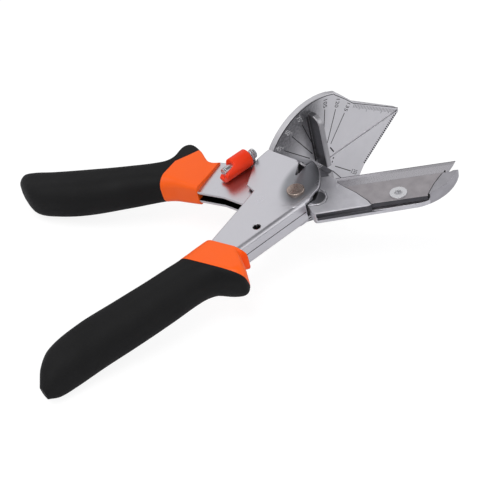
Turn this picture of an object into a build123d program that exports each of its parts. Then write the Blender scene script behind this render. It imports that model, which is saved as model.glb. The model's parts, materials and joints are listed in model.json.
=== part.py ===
from build123d import *
import math
import os

os.makedirs("parts", exist_ok=True)

# Mitre shears, opened as they lie on a bench. Everything is drawn in the tool's own
# plane first: X runs along the slot of the angle table to its tip, Y points away from
# the blade, Z is square to the blade and zero lies in the middle of the blade.
# The origin is the point where the angle lines of the table meet.

# sheet and running fits
sheet = 1.1
side_play = 0.35
close_fit = 0.05
free_gap = 0.3
overrun = 60.0
edge_break = 0.3

# pivot
pivot_back = 23.1
pivot_drop = 9.3
opening_deg = 41.0
rivet_r = 2.5
rivet_head_r = 3.8
rivet_head_h = 0.9
bush_r = 3.8
washer_r = 6.2
washer_t = 0.3

# widths of the two nested channels, from the middle plane to the outer face
upper_half = 2.9
lower_half = 5.4
fold_r = 2.0
upper_inner_half = upper_half - sheet
lower_inner_half = lower_half - sheet
pressed_inner_half = upper_half + side_play
pressed_outer_half = pressed_inner_half + sheet
pressed_depth = lower_half - pressed_outer_half
press_slope_deg = 58.0

# angle table
tip_reach = 48.0
tip_r = 1.6
rim_r = 31.8
rim_lip = 1.8
rim_steps = 4
rim_lip_end_deg = 6.0
rim_lip_t = 0.9
table_t = 2.4
sector_deg = 138.0
sector_shift = 3.2
slot_w = 0.9
slot_depth = 0.8
slot_end_margin = 1.8
fence_t = 2.6
fence_h = 6.4
fence_reach = 27.4
fence_gap_half = 1.7
fence_corner_r = 4.6
spine_half = 1.6

# lower handle, the one that carries the angle table
lower_reach = 140.0
cheek_height = 40.2
hang_hole_r = 1.7
hang_hole_back = 48.8
hang_hole_drop = 14.5
table_rivet_r = 2.0
table_rivet_head_r = 3.4
table_rivet_head_h = 1.2

# upper handle, the one that carries the blade, drawn closed and about the pivot
upper_reach = 108.0
upper_height = 44.0

# blade, carrier and clamp, drawn closed and about the pivot
blade_bite = 0.3
blade_t = 1.2
blade_l = 52.2
blade_heel = 14.8
blade_depth = 21.0
grind_w = 2.6
land_t = 0.15
carrier_half = 2.7
carrier_h = 24.2
carrier_corner = 7.0
bevel_w = 2.7
bevel_top = 7.1
clamp_gap = 0.35
strip_depth = 0.8
strip_rim = 0.5
screw_head_r = 3.6
screw_head_h = 0.35
screw_sink = 1.7
screw_r = 2.0
screw_along_share = 0.519
screw_below = 9.1
lobe_r = 0.55
lobe_ring_r = 1.1
lobe_depth = 1.1
lobes = 6
carrier_rivet_r = 1.1
carrier_rivet_angles = (30.0, -10.0)
tang_bore_r = 5.7

# return spring
wire_d = 0.9
coil_r = 4.75
coil_turns = 1.25
coil_rise = 1.8
lower_leg = 21.0
upper_leg = 23.5
points_per_turn = 16
gap_samples = 400

# latch
latch_y = 22.2
latch_z = 7.6
sleeve_r = 4.2
sleeve_l = 13.0
sleeve_bore_r = 2.1
sleeve_step_l = 4.4
axle_r = 1.2
axle_head_r = 2.3
axle_head_h = 1.7
axle_end_h = 0.7
ear_x = -21.6
ear_r = 2.1
lever_t = 0.9
lever_reach = 11.4
lever_root_r = 2.4
lever_tip_r = 1.5
lever_rest_deg = -35.0
hook_r = 1.0

# grips: each station has its place as a share of the handle's reach, its inner and outer
# side and half thickness as shares of grip_half, and how much of its edges is rounded
grip_half = 10.2
lower_lean_deg = 21.5
upper_front_lean_deg = 28.0
upper_seam_lean_deg = 37.0
lower_front_share = -0.464
lower_seam_share = -0.564
upper_front_share = -0.341
upper_seam_share = -0.524
lower_rest_station = 7
upper_rest_station = 8

# the cheeks' head follows the pivot's place, their tail the reach of the handle
cheek_head_shares = [
    (-1.145, -0.478), (-0.442, -0.010), (-0.442, 0.107), (0.388, 0.107), (0.388, 0.348),
    (0.085, 0.512), (-0.582, 0.522), (-0.855, 0.498), (-1.024, 0.445), (-1.467, 0.249),
    (-1.497, 0.109), (-1.988, 0.012),
]
cheek_tail_shares = [
    (-0.470, -0.144), (-0.600, -0.179), (-1.0, -0.164), (-1.0, -0.363), (-0.714, -0.428),
    (-0.600, -0.478),
]
cheek_nose_shares = [(-1.145, -0.478), (-0.570, -0.335), (-0.224, -0.010)]
slit_shares = [(-0.418, -0.012), (-0.442, 0.080), (-0.709, -0.035), (-0.673, -0.052)]
press_shares = [
    (-0.418, 0.037), (-0.697, -0.040), (-0.915, -0.085), (-1.109, -0.154), (-1.291, -0.239),
    (-1.370, -0.323), (-1.279, -0.383), (0.085, -0.388), (0.085, 0.037),
]
upper_shares = [
    (-0.398, 0.236), (-0.293, 0.109), (-0.222, -0.023), (-0.130, -0.170), (-0.037, -0.168),
    (0.029, -0.175), (0.048, -0.209), (0.090, -0.212), (0.111, -0.185), (0.119, -0.114), (0.111, -0.034),
    (0.087, 0.023), (0.074, 0.148), (0.023, 0.284), (-0.074, 0.420), (-0.171, 0.516),
    (-0.313, 0.664), (-0.426, 0.705), (-0.556, 0.709), (-1.0, 0.773), (-1.0, 0.557),
    (-0.556, 0.423), (-0.463, 0.341),
]
upper_hollow_shares = [
    (-1.2, 0.1), (0.3, -0.5), (0.3, 0.35), (0.04, 0.55), (-0.074, 0.392), (-0.171, 0.488),
    (-0.313, 0.636), (-0.426, 0.678), (-0.556, 0.682), (-1.2, 0.762),
]
rim_shares = [(0.285, 0.583), (0.390, 0.480), (0.465, 0.390)]
spine_shares = [
    (-0.200, 0.0), (-0.205, 0.105), (-0.338, 0.208), (-0.433, 0.408), (-0.292, 0.435),
    (-0.042, 0.435), (0.125, 0.354), (0.333, 0.167), (0.840, 0.080), (0.840, 0.0),
]
# the carrier's back follows its lower corner, its front and its pocket the blade
carrier_back_shares = [
    (1.0, -0.605), (0.724, -0.397), (0.467, -0.312), (0.467, 0.225), (0.911, 0.300),
    (1.489, 0.352), (2.084, 0.352),
]
carrier_front_shares = [(0.102, 0.100), (0.941, 0.100), (0.971, 0.130), (1.006, 0.120)]
carrier_nose_shares = [(1.006, 0.120), (0.929, -0.215), (0.661, -0.555)]
seam_shares = [(0.098, 0.120), (0.103, -0.010), (0.178, -0.175), (0.274, -0.450), (0.321, -0.660)]
front_seam_shares = [(0.738, -0.660), (0.747, -0.500), (0.804, -0.255), (0.887, 0.012), (0.917, 0.120)]
blade_shares = [
    (0.0, 0.0), (1.0, 0.0), (0.936, -0.260), (0.880, -0.440), (0.735, -0.955),
    (0.280, -0.955), (0.180, -0.620), (0.110, -0.365),
]
lower_grip_shares = [
    (-0.428, 0.51, 2.06, 0.61, 0.60), (-0.468, 0.37, 2.55, 0.69, 0.60),
    (-0.500, 0.35, 3.14, 0.74, 0.65), (-0.525, 0.35, 3.10, 0.77, 0.70),
    (-0.564, 0.35, 2.41, 0.83, 0.80), (-0.614, 0.35, 2.08, 0.88, 0.85),
    (-0.707, 0.29, 2.04, 0.90, 0.85), (-0.814, 0.16, 1.98, 0.91, 0.85),
    (-0.929, 0.04, 1.86, 0.91, 0.85), (-1.029, 0.22, 1.82, 0.84, 0.85),
    (-1.078, 0.73, 1.80, 0.64, 0.85), (-1.111, 1.27, 1.76, 0.25, 0.85),
]
upper_grip_shares = [
    (-0.296, 0.39, 2.79, 0.39, 0.40), (-0.365, 0.84, 3.00, 0.42, 0.40),
    (-0.398, 1.01, 3.75, 0.49, 0.40), (-0.440, 1.23, 4.31, 0.55, 0.45),
    (-0.477, 1.42, 4.22, 0.61, 0.50), (-0.509, 1.57, 3.59, 0.67, 0.60),
    (-0.555, 1.67, 3.32, 0.75, 0.70), (-0.713, 1.57, 3.37, 0.86, 0.85),
    (-0.898, 1.53, 3.55, 0.90, 0.85), (-1.037, 1.75, 3.75, 0.88, 0.85),
    (-1.130, 2.11, 4.02, 0.76, 0.85), (-1.185, 2.94, 4.18, 0.53, 0.85),
    (-1.211, 3.58, 4.14, 0.24, 0.85),
]

pivot = Vector(-pivot_back, -pivot_drop, 0)
closed_frame = Location(pivot)
open_frame = closed_frame * Rotation(0, 0, -opening_deg)
edge_y = pivot_drop + blade_bite
screw_along = blade_heel + blade_l * screw_along_share


def placed(shares, along, across):
    return [(a * along, b * across) for a, b in shares]


def plate(points, low, high):
    """A closed outline of straight runs, from one height to another."""
    face = make_face(Polyline(*points, close=True))
    return Pos(0, 0, low) * extrude(face, amount=high - low)


def slab(face, low, high):
    return Pos(0, 0, low) * extrude(face, amount=high - low)


def rod(radius, low, high):
    return Pos(0, 0, (low + high) / 2) * Cylinder(radius, high - low)


def mirrored(shape):
    return mirror(shape, Plane.XY)


def both_sides(shape):
    return shape + mirrored(shape)


def block(x0, x1, y0, y1, z0, z1):
    centre = Pos((x0 + x1) / 2, (y0 + y1) / 2, (z0 + z1) / 2)
    return centre * Box(x1 - x0, y1 - y0, z1 - z0)


# Angle table: a cast sector with a lip round its rim, two fences that meet the work,
# a shallow slot for the edge and a spine that sits between the cheeks of the handle.
def table_face():
    sector = math.radians(sector_deg)
    ux, uz = math.cos(sector), math.sin(sector)
    rim = placed(rim_shares, tip_reach, tip_reach)
    start_angle = math.atan2(rim[0][1], rim[0][0])
    middle_angle = (start_angle + sector) / 2
    corner = (rim_r * ux, rim_r * uz)
    middle = (rim_r * math.cos(middle_angle), rim_r * math.sin(middle_angle))
    start = (rim_r * math.cos(start_angle), rim_r * math.sin(start_angle))
    inner_z = lower_half + free_gap
    inner = (-lower_half / math.tan(math.pi - sector) - sector_shift, inner_z)
    back = cheek_head_shares[1][0] * pivot_back + free_gap
    half = [
        Line((back, 0), (back, lower_inner_half)),
        Line((back, lower_inner_half), (inner[0], lower_inner_half)),
        Line((inner[0], lower_inner_half), inner),
        Line(inner, corner),
        ThreePointArc(corner, middle, start),
        Spline(start, rim[1], rim[2]),
        Line(rim[2], (tip_reach, 0)),
        Line((tip_reach, 0), (back, 0)),
    ]
    face = make_face(half)
    return face + mirror(face, Plane.XZ)


def make_table():
    face = table_face()
    face = fillet(face.vertices().sort_by(Axis.X)[-1], tip_r)
    lay = Rotation(90, 0, 0)
    # the sketch lies in X and Z, its thickness runs along plus Y
    table = Pos(0, table_t, 0) * (lay * extrude(face, amount=table_t))
    ring = Circle(rim_r) - Circle(rim_r - rim_lip)
    sector = math.radians(sector_deg)
    first = math.atan2(rim_shares[0][1], rim_shares[0][0]) + math.radians(rim_lip_end_deg)
    wedge = [(0, 0)]
    for step in range(rim_steps + 1):
        angle = first + (sector - first) * step / rim_steps
        wedge.append((overrun * math.cos(angle), overrun * math.sin(angle)))
    half_ring = ring & make_face(Polyline(*wedge, close=True))
    lip = extrude(half_ring, amount=rim_lip_t)
    lip = Pos(0, table_t + rim_lip_t / 3, 0) * (lay * lip)
    table = table + lip + mirrored(lip)
    # fences
    fence = block(-fence_t, 0, -fence_h, table_t / 2, fence_gap_half, fence_reach)
    outer = fence.edges().filter_by(Axis.X).sort_by(Axis.Z)[-2:].sort_by(Axis.Y)[0]
    fence = fillet(outer, fence_corner_r)
    top = fence.faces().sort_by(Axis.Y)[0].edges().filter_by(Axis.Z)
    fence = chamfer(top, edge_break)
    table = table + both_sides(fence)
    # spine between the cheeks, thin rib beyond them
    spine_width = lower_inner_half - close_fit
    spine = plate(placed(spine_shares, tip_reach, tip_reach), -spine_width, spine_width)
    beyond = block(rib_start(), overrun, table_t, overrun, spine_half, overrun)
    spine = spine - both_sides(beyond)
    table = table + spine
    # slot for the edge, open towards the pivot
    slot_end = tip_reach - slot_end_margin
    table = table - block(-pivot_back, slot_end, -free_gap, slot_depth, -slot_w / 2, slot_w / 2)
    # rivet holes through the spine
    for x, y in table_rivet_places():
        table = table - Pos(x, y, 0) * Cylinder(table_rivet_r, 2 * overrun)
    return table


def rib_start():
    return cheek_head_shares[3][0] * pivot_back + free_gap


def table_rivet_places():
    left = (spine_shares[3][0] + spine_shares[4][0]) / 2 * tip_reach / 3
    right = spine_shares[6][0] * tip_reach * 3 / 4
    height = spine_shares[5][1] * tip_reach * 3 / 5
    return [(left, height), (right, height)]


# Lower handle: one pressed channel. Both cheeks are set inwards round the pivot.
def cheek_face():
    head = placed(cheek_head_shares, pivot_back, cheek_height)
    tail = placed(cheek_tail_shares, lower_reach, cheek_height)
    points = head + tail
    nose = placed(cheek_nose_shares, pivot_back, cheek_height)
    lines = [ThreePointArc(*nose), Line(nose[2], points[1])]
    for first, second in zip(points[1:], points[2:] + points[:1]):
        lines.append(Line(first, second))
    return make_face(lines)


def make_lower_channel():
    face = cheek_face()
    web_y = cheek_head_shares[0][1] * cheek_height
    outer = slab(face, -lower_half, lower_half)
    folds = outer.edges().filter_by(Axis.X).filter_by(lambda e: abs(e.center().Y - web_y) < edge_break)
    outer = fillet(folds, fold_r)
    hollow = block(-2 * lower_reach, overrun, web_y + sheet, overrun, -lower_inner_half, lower_inner_half)
    tail = Rotation(0, 0, tang_slope_deg())
    tail_x = cheek_tail_shares[-1][0] * lower_reach
    under = block(-2 * lower_reach, 0, -overrun, sheet, -overrun, overrun)
    under = Pos(tail_x, web_y, 0) * (tail * under)
    inside = fillet(hollow.edges().filter_by(Axis.X).sort_by(Axis.Y)[:2], fold_r - sheet)
    web_end = cheek_head_shares[0][0] * pivot_back
    front = block(web_end, overrun, -overrun, overrun, -lower_inner_half, lower_inner_half)
    channel = outer - (inside - under) - front
    # pressed zone of one cheek
    press = placed(press_shares, pivot_back, cheek_height)
    press_face = make_face(Polyline(*press, close=True))
    zone = offset(press_face, fold_r + sheet) & face
    block_in = slab(zone, pressed_inner_half, lower_half)
    dent = Pos(0, 0, pressed_outer_half) * extrude(
        press_face, amount=pressed_depth, taper=-press_slope_deg
    )
    dent_top = extrude(offset(press_face, fold_r), amount=overrun)
    dent = dent + Pos(0, 0, lower_half) * dent_top
    inner_dent = Pos(0, 0, -sheet) * dent
    inner_slab = block(
        -lower_reach, overrun, web_y + sheet, overrun, pressed_inner_half, lower_inner_half
    )
    pressed = block_in - dent - (inner_slab - inner_dent)
    channel = channel - dent - mirrored(dent)
    channel = channel + pressed + mirrored(pressed)
    slit = placed(slit_shares, pivot_back, cheek_height)
    channel = channel - plate(slit, -overrun, overrun)
    channel = channel - Pos(-hang_hole_back, -hang_hole_drop, 0) * Cylinder(hang_hole_r, overrun)
    channel = channel - closed_frame * Cylinder(rivet_r, overrun)
    for x, y in table_rivet_places():
        channel = channel - Pos(x, y, 0) * Cylinder(table_rivet_r, overrun)
    return largest(channel)


def tang_slope_deg():
    far, near = placed(cheek_tail_shares[-2:], lower_reach, cheek_height)
    return math.degrees(math.atan2(near[1] - far[1], near[0] - far[0]))


def largest(shape):
    solids = shape.solids().sort_by(SortBy.VOLUME)
    return solids[-1]


# Upper handle: a narrower channel that runs inside the lower one.
def make_upper_channel():
    outline = placed(upper_shares, upper_reach, upper_height)
    solid = plate(outline, -upper_half, upper_half)
    hollow = plate(placed(upper_hollow_shares, upper_reach, upper_height), -upper_inner_half, upper_inner_half)
    channel = solid - hollow
    channel = channel - Cylinder(bush_r + close_fit, overrun)
    for x, y in carrier_rivet_places():
        channel = channel - Pos(x, y, 0) * Cylinder(carrier_rivet_r, overrun)
    channel = open_frame * channel
    # ear that holds the latch, bent up from the front cheek
    ear_end = ear_x + sheet
    tongue = block(ear_x - 2 * sheet, ear_end, latch_y - ear_r, latch_y + ear_r, upper_inner_half, upper_half)
    ear = block(ear_x, ear_end, latch_y - ear_r, latch_y + ear_r, upper_inner_half, latch_z)
    ear = ear + Pos((ear_x + ear_end) / 2, latch_y, latch_z) * (Rotation(0, 90, 0) * Cylinder(ear_r, sheet))
    channel = channel + tongue + ear
    channel = channel - along_x(axle_r + close_fit, ear_x - sheet, ear_end + sheet)
    return largest(channel)


def along_x(radius, x0, x1):
    return Pos((x0 + x1) / 2, latch_y, latch_z) * (Rotation(0, 90, 0) * Cylinder(radius, x1 - x0))


def carrier_rivet_places():
    ring = tang_bore_r + 2 * carrier_rivet_r
    places = []
    for angle in carrier_rivet_angles:
        a = math.radians(angle)
        places.append((ring * math.cos(a), ring * math.sin(a)))
    return places


# Blade carrier: a casting with a pocket for the blade and a tang between the cheeks.
def carrier_outline():
    body = placed(carrier_back_shares, carrier_corner, carrier_h) + along_blade(carrier_front_shares)
    nose = along_blade(carrier_nose_shares)
    lines = [Line(a, b) for a, b in zip(body[:-1], body[1:])]
    lines.append(ThreePointArc(*nose))
    lines.append(Line(nose[2], body[0]))
    return make_face(lines)


def along_blade(shares):
    return [(blade_heel + x, y) for x, y in placed(shares, blade_l, carrier_h)]


def bevel_cut(inner_half, outer_half):
    """The slope that leads from the blade up to the face of the casting."""
    foot = edge_y - bevel_top
    rise = outer_half - inner_half
    profile = [
        (foot, inner_half),
        (foot + overrun, inner_half),
        (foot + overrun, outer_half + rise),
        (foot - 2 * bevel_w, outer_half + rise),
    ]
    face = make_face(Polyline(*[(0, y, z) for y, z in profile], close=True))
    return Pos(-overrun, 0, 0) * extrude(face, amount=3 * overrun, dir=(1, 0, 0))


def pocket(gap):
    back = along_blade(seam_shares)
    front = along_blade(front_seam_shares)
    points = [(x + gap, y) for x, y in back] + [(x - gap, y) for x, y in front]
    return make_face(Polyline(*points, close=True))


def make_carrier():
    body = slab(carrier_outline(), -carrier_half, carrier_half)
    body = fillet(body.edges().filter_by(Axis.Z).sort_by(Axis.Y)[:1], tip_r)
    heel = blade_heel
    cut_x = along_blade(seam_shares)[0][0]
    bevel = bevel_cut(blade_t / 2, carrier_half)
    nose_start = along_blade(front_seam_shares)[-1][0]
    nose_bevel = bevel & block(cut_x - bevel_w, overrun * 2, -overrun, overrun, 0, overrun)
    body = body - nose_bevel - mirrored(nose_bevel - block(nose_start, 2 * overrun, -overrun, overrun, 0, overrun))
    # pocket for blade and clamp
    body = body - slab(pocket(0), -blade_t / 2, overrun)
    # the blade's heel leans on a slanted shoulder
    shoulder = [
        (heel, edge_y + overrun),
        (heel, edge_y),
        along_blade(seam_shares)[0],
        along_blade(front_seam_shares)[-1],
        (overrun * 2, edge_y + overrun),
    ]
    body = body - (plate(shoulder, -blade_t / 2, overrun) & heel_zone())
    # side strips below the face
    body = body - side_strip()
    # thinner tang between the cheeks of the upper handle
    cheek = make_face(Polyline(*placed(upper_shares, upper_reach, upper_height), close=True))
    recess = slab(offset(cheek, clamp_gap), upper_inner_half - close_fit, overrun)
    body = body - both_sides(recess)
    body = body - Cylinder(tang_bore_r, overrun)
    for x, y in carrier_rivet_places():
        body = body - Pos(x, y, 0) * Cylinder(carrier_rivet_r, overrun)
    body = body - Pos(screw_along, -screw_below, 0) * Cylinder(screw_r, overrun)
    return largest(open_frame * body)


def heel_zone():
    right = along_blade(seam_shares)[0][0] + clamp_gap
    return block(0, right, edge_y - bevel_top, overrun, -overrun, overrun)


def side_strip():
    left = carrier_corner + strip_depth
    right = along_blade(seam_shares)[3][0]
    low = carrier_back_shares[0][1] * carrier_h
    return block(left, right, low - overrun, low + strip_depth, 0, carrier_half - strip_rim)


def make_blade():
    points = [(x + blade_heel, y + edge_y) for x, y in placed(blade_shares, blade_l, blade_depth)]
    blade = plate(points, -blade_t / 2, blade_t / 2)
    profile = [
        (edge_y - grind_w, blade_t / 2),
        (edge_y, land_t / 2),
        (edge_y + grind_w, land_t / 2),
        (edge_y + grind_w, blade_t),
        (edge_y - grind_w, blade_t),
    ]
    face = make_face(Polyline(*[(0, y, z) for y, z in profile], close=True))
    grind = extrude(face, amount=2 * overrun, dir=(1, 0, 0))
    blade = blade - grind - mirrored(grind)
    blade = blade - Pos(screw_along, -screw_below, 0) * Cylinder(screw_r + close_fit, overrun)
    return largest(open_frame * blade)


def make_clamp():
    face = pocket(clamp_gap)
    clamp = slab(face, blade_t / 2, carrier_half)
    clamp = clamp - bevel_cut(blade_t / 2, carrier_half)
    low = carrier_back_shares[0][1] * carrier_h + strip_depth + strip_rim
    clamp = clamp - block(-overrun, 2 * overrun, low - overrun, low, -overrun, overrun)
    hole = Pos(screw_along, -screw_below, 0)
    clamp = clamp - hole * Cylinder(screw_r + close_fit, overrun)
    clamp = clamp - hole * countersink()
    return largest(open_frame * clamp)


def countersink():
    low = carrier_half - screw_sink
    cone = Cone(screw_r, screw_head_r, screw_sink)
    return Pos(0, 0, low + screw_sink / 2) * cone


def make_clamp_screw():
    screw = rod(screw_r, -carrier_half, carrier_half)
    screw = screw + countersink() + rod(screw_head_r, carrier_half, carrier_half + screw_head_h)
    top = carrier_half + screw_head_h
    recess = rod(lobe_ring_r, top - lobe_depth, top + overrun)
    for k in range(lobes):
        a = math.radians(360.0 * k / lobes)
        lobe = rod(lobe_r, top - lobe_depth, top + overrun)
        recess = recess + Pos(lobe_ring_r * math.cos(a), lobe_ring_r * math.sin(a), 0) * lobe
    screw = screw - recess
    return open_frame * (Pos(screw_along, -screw_below, 0) * screw)


def make_carrier_rivets():
    rivets = []
    for x, y in carrier_rivet_places():
        rivets.append(open_frame * (Pos(x, y, 0) * rod(carrier_rivet_r, -upper_half, upper_half)))
    return rivets


def headed_pin(shank_r, head_r, head_h, grip_half_length):
    pin = rod(shank_r, -grip_half_length, grip_half_length)
    head = rod(head_r, grip_half_length, grip_half_length + head_h)
    head = fillet(head.edges().sort_by(Axis.Z)[-1], head_h / 3)
    return pin + head + mirrored(head)


def make_pivot_rivet():
    return closed_frame * headed_pin(rivet_r, rivet_head_r, rivet_head_h, pressed_outer_half)


def make_table_rivets():
    pin = headed_pin(table_rivet_r, table_rivet_head_r, table_rivet_head_h, lower_half)
    return [Pos(x, y, 0) * pin for x, y in table_rivet_places()]


def make_pivot_bush():
    length = pressed_inner_half
    return closed_frame * (rod(bush_r, -length, length) - rod(rivet_r, -overrun, overrun))


def make_pivot_washers():
    low = upper_half + (side_play - washer_t) / 2
    ring = rod(washer_r, low, low + washer_t) - rod(bush_r + close_fit, -overrun, overrun)
    return [closed_frame * ring, closed_frame * mirrored(ring)]


# Return spring: a turn and a quarter round the bush, its legs push the webs apart.
def spring_points():
    rise = coil_rise / coil_turns
    steps = round(points_per_turn * coil_turns)
    start = -90.0
    web_y = cheek_head_shares[0][1] * cheek_height + sheet + pivot_drop
    leg_y = web_y + wire_d / 2 + free_gap
    points = [Vector(-lower_leg, leg_y, -coil_rise / 2), Vector(-lower_leg / 2, (leg_y - coil_r) / 2, -coil_rise / 2)]
    for k in range(steps + 1):
        turn = k / points_per_turn
        a = math.radians(start + 360.0 * turn)
        points.append(Vector(coil_r * math.cos(a), coil_r * math.sin(a), -coil_rise / 2 + rise * turn))
    lean = coil_r / 4
    points.append(Vector(coil_r - lean, upper_leg / 2, coil_rise / 2))
    points.append(Vector(lean, upper_leg, coil_rise / 2))
    return points


def make_spring():
    points = spring_points()
    path = Spline(*points)
    section = Plane(origin=path @ 0, z_dir=path % 0) * Circle(wire_d / 2)
    return closed_frame * sweep(section, path=path), points


def report_spring_gap(points):
    """Least free space between stretches of the wire more than half a turn apart."""
    path = Spline(*points)
    count = gap_samples
    samples = [path @ (k / count) for k in range(count + 1)]
    apart = path.length / count
    reach = math.pi * coil_r
    least = None
    for i, first in enumerate(samples):
        for j in range(i + 1, len(samples)):
            if (j - i) * apart > reach:
                space = (first - samples[j]).length - wire_d
                least = space if least is None else min(least, space)
    print("least gap of the spring to itself, mm:", round(least, 3))


# Latch: a hook on a barrel that turns on a screw through the ear, with a moulded sleeve.
def make_latch_lever():
    plate_end = ear_x - free_gap
    plate_start = plate_end - lever_t
    barrel_end = plate_start - sleeve_l
    root = Circle(lever_root_r)
    reach = lever_reach - lever_tip_r
    arm = make_face(Polyline(
        (0, lever_root_r), (reach, lever_tip_r), (reach, -lever_tip_r), (0, -lever_root_r), close=True
    ))
    face = root + arm + Pos(reach, 0) * Circle(lever_tip_r)
    face = face - Pos(reach - 2 * hook_r, -lever_tip_r - hook_r / 4) * Circle(hook_r)
    lever = extrude(face, amount=lever_t)
    # the sketch's X turns to Y and its Y to Z
    upright = Plane(origin=(plate_start, latch_y, latch_z), x_dir=(0, 1, 0), z_dir=(1, 0, 0))
    lever = upright.location * (Rotation(0, 0, lever_rest_deg) * lever)
    barrel = along_x(sleeve_bore_r, barrel_end, plate_end)
    bore = along_x(axle_r + close_fit, barrel_end - overrun, plate_end + overrun)
    return lever + barrel - bore


def make_latch_sleeve():
    right = ear_x - free_gap - lever_t
    left = right - sleeve_l
    sleeve = along_x(sleeve_r, left, right)
    ends = sleeve.edges().filter_by(GeomType.CIRCLE)
    sleeve = fillet(ends, edge_break * 2)
    sleeve = sleeve - along_x(sleeve_bore_r, left - overrun, right + overrun)
    # the upper half stops short and shows the barrel
    step = block(left - overrun, left + sleeve_step_l, latch_y - overrun, latch_y + overrun, latch_z, overrun)
    return sleeve - step


def make_latch_screw():
    head_x = ear_x + sheet
    left = ear_x - free_gap - lever_t - sleeve_l - close_fit
    screw = along_x(axle_r, left, head_x)
    head = along_x(axle_head_r, head_x, head_x + axle_head_h)
    head = fillet(head.edges().filter_by(GeomType.CIRCLE).sort_by(Axis.X)[-1], axle_head_h / 2)
    slot = block(
        head_x + axle_head_h / 2, head_x + overrun,
        latch_y - overrun, latch_y + overrun, latch_z - edge_break, latch_z + edge_break,
    )
    end = along_x(sleeve_bore_r - edge_break / 2, left - axle_end_h, left)
    return screw + (head - slot) + end


# Grips: one lofted body per handle, parted into a collar and a long sleeve.
def grip_body(shares, reach):
    sections = []
    for along, inner, outer, thick, rounded in shares:
        centre = (inner + outer) / 2 * grip_half
        width = (outer - inner) * grip_half
        height = 2 * thick * grip_half
        ring = RectangleRounded(width, height, min(width, height) / 2 * rounded)
        spot = Plane(origin=(along * reach, centre, 0), x_dir=(0, 1, 0), z_dir=(1, 0, 0))
        sections.append(spot * ring)
    return loft(sections)


def beyond(x, y, lean):
    """Everything on the hand's side of a leaning cut through a point."""
    half = block(-4 * overrun, 0, -2 * overrun, 2 * overrun, -overrun, overrun)
    return Pos(x, y, 0) * (Rotation(0, 0, lean) * half)


def part_grip(body, front, seam, tang):
    hand = body & beyond(*front)
    grip = (hand & beyond(*seam)) - tang
    collar = hand - beyond(*seam) - tang
    return largest(collar), largest(grip)


def make_lower_grip():
    body = mirror(grip_body(lower_grip_shares, lower_reach), Plane.XZ)
    tang = slab(cheek_face(), -lower_half, lower_half)
    middle = cheek_head_shares[0][1] * cheek_height * 5 / 8
    front = (lower_front_share * lower_reach, middle, lower_lean_deg)
    seam = (lower_seam_share * lower_reach, middle, lower_lean_deg)
    return part_grip(body, front, seam, tang)


def make_upper_grip():
    body = grip_body(upper_grip_shares, upper_reach)
    tang = plate(placed(upper_shares, upper_reach, upper_height), -upper_half, upper_half)
    middle = upper_shares[0][1] * upper_height * 2
    front = (upper_front_share * upper_reach, middle, -upper_front_lean_deg)
    seam = (upper_seam_share * upper_reach, middle, -upper_seam_lean_deg)
    collar, grip = part_grip(body, front, seam, tang)
    return open_frame * collar, open_frame * grip


# How the shears lie: on the rim of the table and under both grips.
def rest_plane():
    foot = Vector(0, table_t, -rim_r)
    lower = lower_grip_shares[lower_rest_station]
    low_grip = Vector(lower[0] * lower_reach, -(lower[1] + lower[2]) / 2 * grip_half, -lower[3] * grip_half)
    upper = upper_grip_shares[upper_rest_station]
    spot = (open_frame * Pos(upper[0] * upper_reach, (upper[1] + upper[2]) / 2 * grip_half, 0)).position
    up_grip = Vector(spot.X, spot.Y, -upper[3] * grip_half)
    normal = (low_grip - foot).cross(up_grip - foot).normalized()
    if normal.Z < 0:
        normal = normal * -1
    along = Vector(1, 0, 0) - normal * normal.X
    return Plane(origin=foot, x_dir=along.normalized(), z_dir=normal)


def build():
    spring, points = make_spring()
    report_spring_gap(points)
    lower_collar, lower_grip = make_lower_grip()
    upper_collar, upper_grip = make_upper_grip()
    nodes = {
        "angle_table": [make_table()],
        "table_rivets": make_table_rivets(),
        "lower_handle_channel": [make_lower_channel()],
        "lower_grip": [lower_grip],
        "lower_grip_collar": [lower_collar],
        "pivot_rivet": [make_pivot_rivet()],
        "pivot_bush": [make_pivot_bush()],
        "pivot_washers": make_pivot_washers(),
        "upper_handle_channel": [make_upper_channel()],
        "upper_grip": [upper_grip],
        "upper_grip_collar": [upper_collar],
        "blade_carrier": [make_carrier()],
        "carrier_rivets": make_carrier_rivets(),
        "blade": [make_blade()],
        "blade_clamp_plate": [make_clamp()],
        "clamp_screw": [make_clamp_screw()],
        "return_spring": [spring],
        "latch_lever": [make_latch_lever()],
        "latch_sleeve": [make_latch_sleeve()],
        "latch_screw": [make_latch_screw()],
    }
    lay = rest_plane().location.inverse()
    laid = {name: [lay * solid for solid in solids] for name, solids in nodes.items()}
    boxes = [solid.bounding_box() for solids in laid.values() for solid in solids]
    low = [min(tuple(box.min)[k] for box in boxes) for k in range(3)]
    high = [max(tuple(box.max)[k] for box in boxes) for k in range(3)]
    centre = Location((-(low[0] + high[0]) / 2, -(low[1] + high[1]) / 2, -low[2]))
    for name, solids in laid.items():
        moved = [centre * solid for solid in solids]
        shape = moved[0] if len(moved) == 1 else Compound(children=moved)
        export_step(shape, f"parts/{name}.step")
    print("overall size, mm:", [round(b - a, 1) for a, b in zip(low, high)])
    report_places(centre * lay)


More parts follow.
